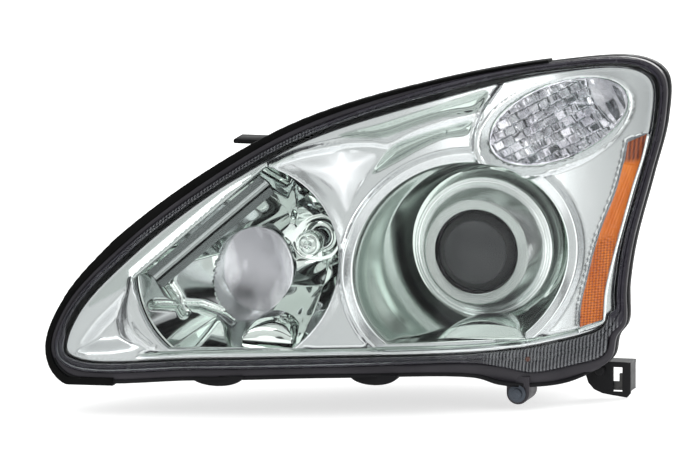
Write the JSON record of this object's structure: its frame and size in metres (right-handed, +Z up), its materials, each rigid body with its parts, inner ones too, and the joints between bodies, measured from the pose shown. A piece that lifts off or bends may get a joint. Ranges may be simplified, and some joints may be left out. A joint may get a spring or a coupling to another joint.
{
  "type": "car headlight assembly",
  "caption": "Left-hand car headlight: wedge-shaped black housing, clear outer lens, silver bezel, round projector and reflector lamps on an aiming carrier, turn signal and amber side marker.",
  "frame": {"origin": "centre of the flat datum pad on the back of the housing, halfway between the two main bulbs' axes across the car", "axes": "+X outboard along the lamp's width, +Y to the rear of the car (out of the datum pad), +Z up; the lamps shine along -Y"},
  "size_m": [0.4732, 0.3264, 0.2835],
  "materials": {
    "housing_plastic": "fine moulded grain",
    "clear_lens": "polished hard coat",
    "seal_rubber": "matt extruded rubber",
    "sealant": "dull butyl bead",
    "silver_trim": "satin silver coat",
    "chrome": "vapour-deposited mirror coat",
    "amber": "prismatic translucent amber",
    "turn_lens": "prismatic clear",
    "lens_glass": "polished optical glass",
    "bulb_glass": "clear",
    "black_plastic": "semi-matt",
    "steel": "zinc plated",
    "cast_aluminium": "as cast",
    "nylon": "natural nylon",
    "grey_plastic": "semi-matt"
  },
  "bodies": {
    "lamp_body": {"housing": "housing_plastic", "outer_lens": "clear_lens", "lens_sealant": "sealant", "hood_seal": "seal_rubber", "bezel": "silver_trim", "amber_side_marker": "amber", "low_beam_well": "chrome", "turn_reflector": "chrome", "turn_inner_lens": "turn_lens", "pivot_ball_stud": "steel", "lower_mount_sleeve": "steel", "lower_mount_bolt": "steel", "bumper_bracket": "black_plastic", "bracket_screw": "steel", "bumper_clip": "steel", "main_connector": "grey_plastic", "turn_lead": "seal_rubber", "marker_lead": "seal_rubber", "upper_vent_cap": "seal_rubber", "lower_vent_cap": "seal_rubber", "low_beam_cover_gasket": "seal_rubber", "high_beam_cover_gasket": "seal_rubber"},
    "pivot_bush": {"pivot_socket": "nylon"},
    "aim_carrier": {"aim_frame": "grey_plastic", "high_beam_reflector": "chrome", "high_bulb_shield": "chrome", "projector_lens_holder": "black_plastic", "projector_lens": "lens_glass", "projector_reflector": "cast_aluminium", "projector_shutter": "steel", "projector_shroud": "silver_trim", "projector_screw_1": "steel", "projector_screw_2": "steel", "projector_screw_3": "steel"},
    "low_bulb": {"low_bulb_glass": "bulb_glass", "low_bulb_base": "black_plastic"},
    "high_bulb": {"high_bulb_glass": "bulb_glass", "high_bulb_base": "black_plastic"},
    "vertical_screw": {"vertical_aim_screw": "steel"},
    "vertical_nut": {"vertical_aim_nut": "nylon"},
    "horizontal_screw": {"horizontal_aim_screw": "steel"},
    "horizontal_nut": {"horizontal_aim_nut": "nylon"},
    "low_cover": {"low_beam_cover": "black_plastic"},
    "high_cover": {"high_beam_cover": "black_plastic"},
    "turn_lamp": {"turn_socket": "black_plastic", "turn_bulb": "bulb_glass", "turn_gasket": "seal_rubber"},
    "marker_lamp": {"marker_socket": "black_plastic", "marker_bulb": "bulb_glass", "marker_gasket": "seal_rubber"},
    "latch": {"connector_latch": "grey_plastic"}
  },
  "joints": [
    {"name": "vertical_aim", "type": "hinge", "parent": "lamp_body", "child": "pivot_bush", "pos_m": [0.005, -0.086, -0.05], "axis": [1, 0, 0], "range_deg": [-1.5, 1.5]},
    {"name": "horizontal_aim", "type": "hinge", "parent": "pivot_bush", "child": "aim_carrier", "pos_m": [0.005, -0.086, -0.05], "axis": [0, 0, 1], "range_deg": [-1, 1]},
    {"name": "vertical_nut_travel", "type": "slide", "parent": "lamp_body", "child": "vertical_nut", "axis": [0, 1, 0], "range_m": [-0.0032, 0.0032]},
    {"name": "horizontal_nut_travel", "type": "slide", "parent": "lamp_body", "child": "horizontal_nut", "axis": [0, 1, 0], "range_m": [-0.0016, 0.0016]},
    {"name": "vertical_screw_turn", "type": "hinge", "parent": "lamp_body", "child": "vertical_screw", "pos_m": [0.005, -0.02, 0.07], "axis": [0, 1, 0], "range_deg": [-755, 755]},
    {"name": "horizontal_screw_turn", "type": "hinge", "parent": "lamp_body", "child": "horizontal_screw", "pos_m": [-0.08, -0.06, -0.05], "axis": [0, 1, 0], "range_deg": [-357, 357]},
    {"name": "low_bulb_twist", "type": "hinge", "parent": "aim_carrier", "child": "low_bulb", "pos_m": [0.067, -0.04, 0], "axis": [0, 1, 0], "range_deg": [0, 30]},
    {"name": "high_bulb_twist", "type": "hinge", "parent": "aim_carrier", "child": "high_bulb", "pos_m": [-0.067, -0.12, 0.008], "axis": [0, 1, 0], "range_deg": [0, 30]},
    {"name": "low_cover_twist", "type": "hinge", "parent": "lamp_body", "child": "low_cover", "pos_m": [0.067, 0.01, 0], "axis": [0, 1, 0], "range_deg": [0, 40]},
    {"name": "high_cover_twist", "type": "hinge", "parent": "lamp_body", "child": "high_cover", "pos_m": [-0.067, -0.026, 0.008], "axis": [0, 1, 0], "range_deg": [0, 40]},
    {"name": "turn_socket_twist", "type": "hinge", "parent": "lamp_body", "child": "turn_lamp", "pos_m": [0.118, 0.005, 0.082], "axis": [0, 1, 0], "range_deg": [0, 45]},
    {"name": "marker_socket_twist", "type": "hinge", "parent": "lamp_body", "child": "marker_lamp", "pos_m": [0.142, 0.005, -0.042], "axis": [0, 1, 0], "range_deg": [0, 45]},
    {"name": "connector_latch_lift", "type": "hinge", "parent": "lamp_body", "child": "latch", "pos_m": [0.061, 0.004, 0.0975], "axis": [1, 0, 0], "range_deg": [0, 12]}
  ],
  "couplings": [
    {"joint": "vertical_nut_travel", "follows": "vertical_aim", "m_per_rad": -0.12},
    {"joint": "horizontal_nut_travel", "follows": "horizontal_aim", "m_per_rad": -0.085},
    {"joint": "vertical_screw_turn", "follows": "vertical_aim", "ratio": 502.65},
    {"joint": "horizontal_screw_turn", "follows": "horizontal_aim", "ratio": 356.05}
  ]
}
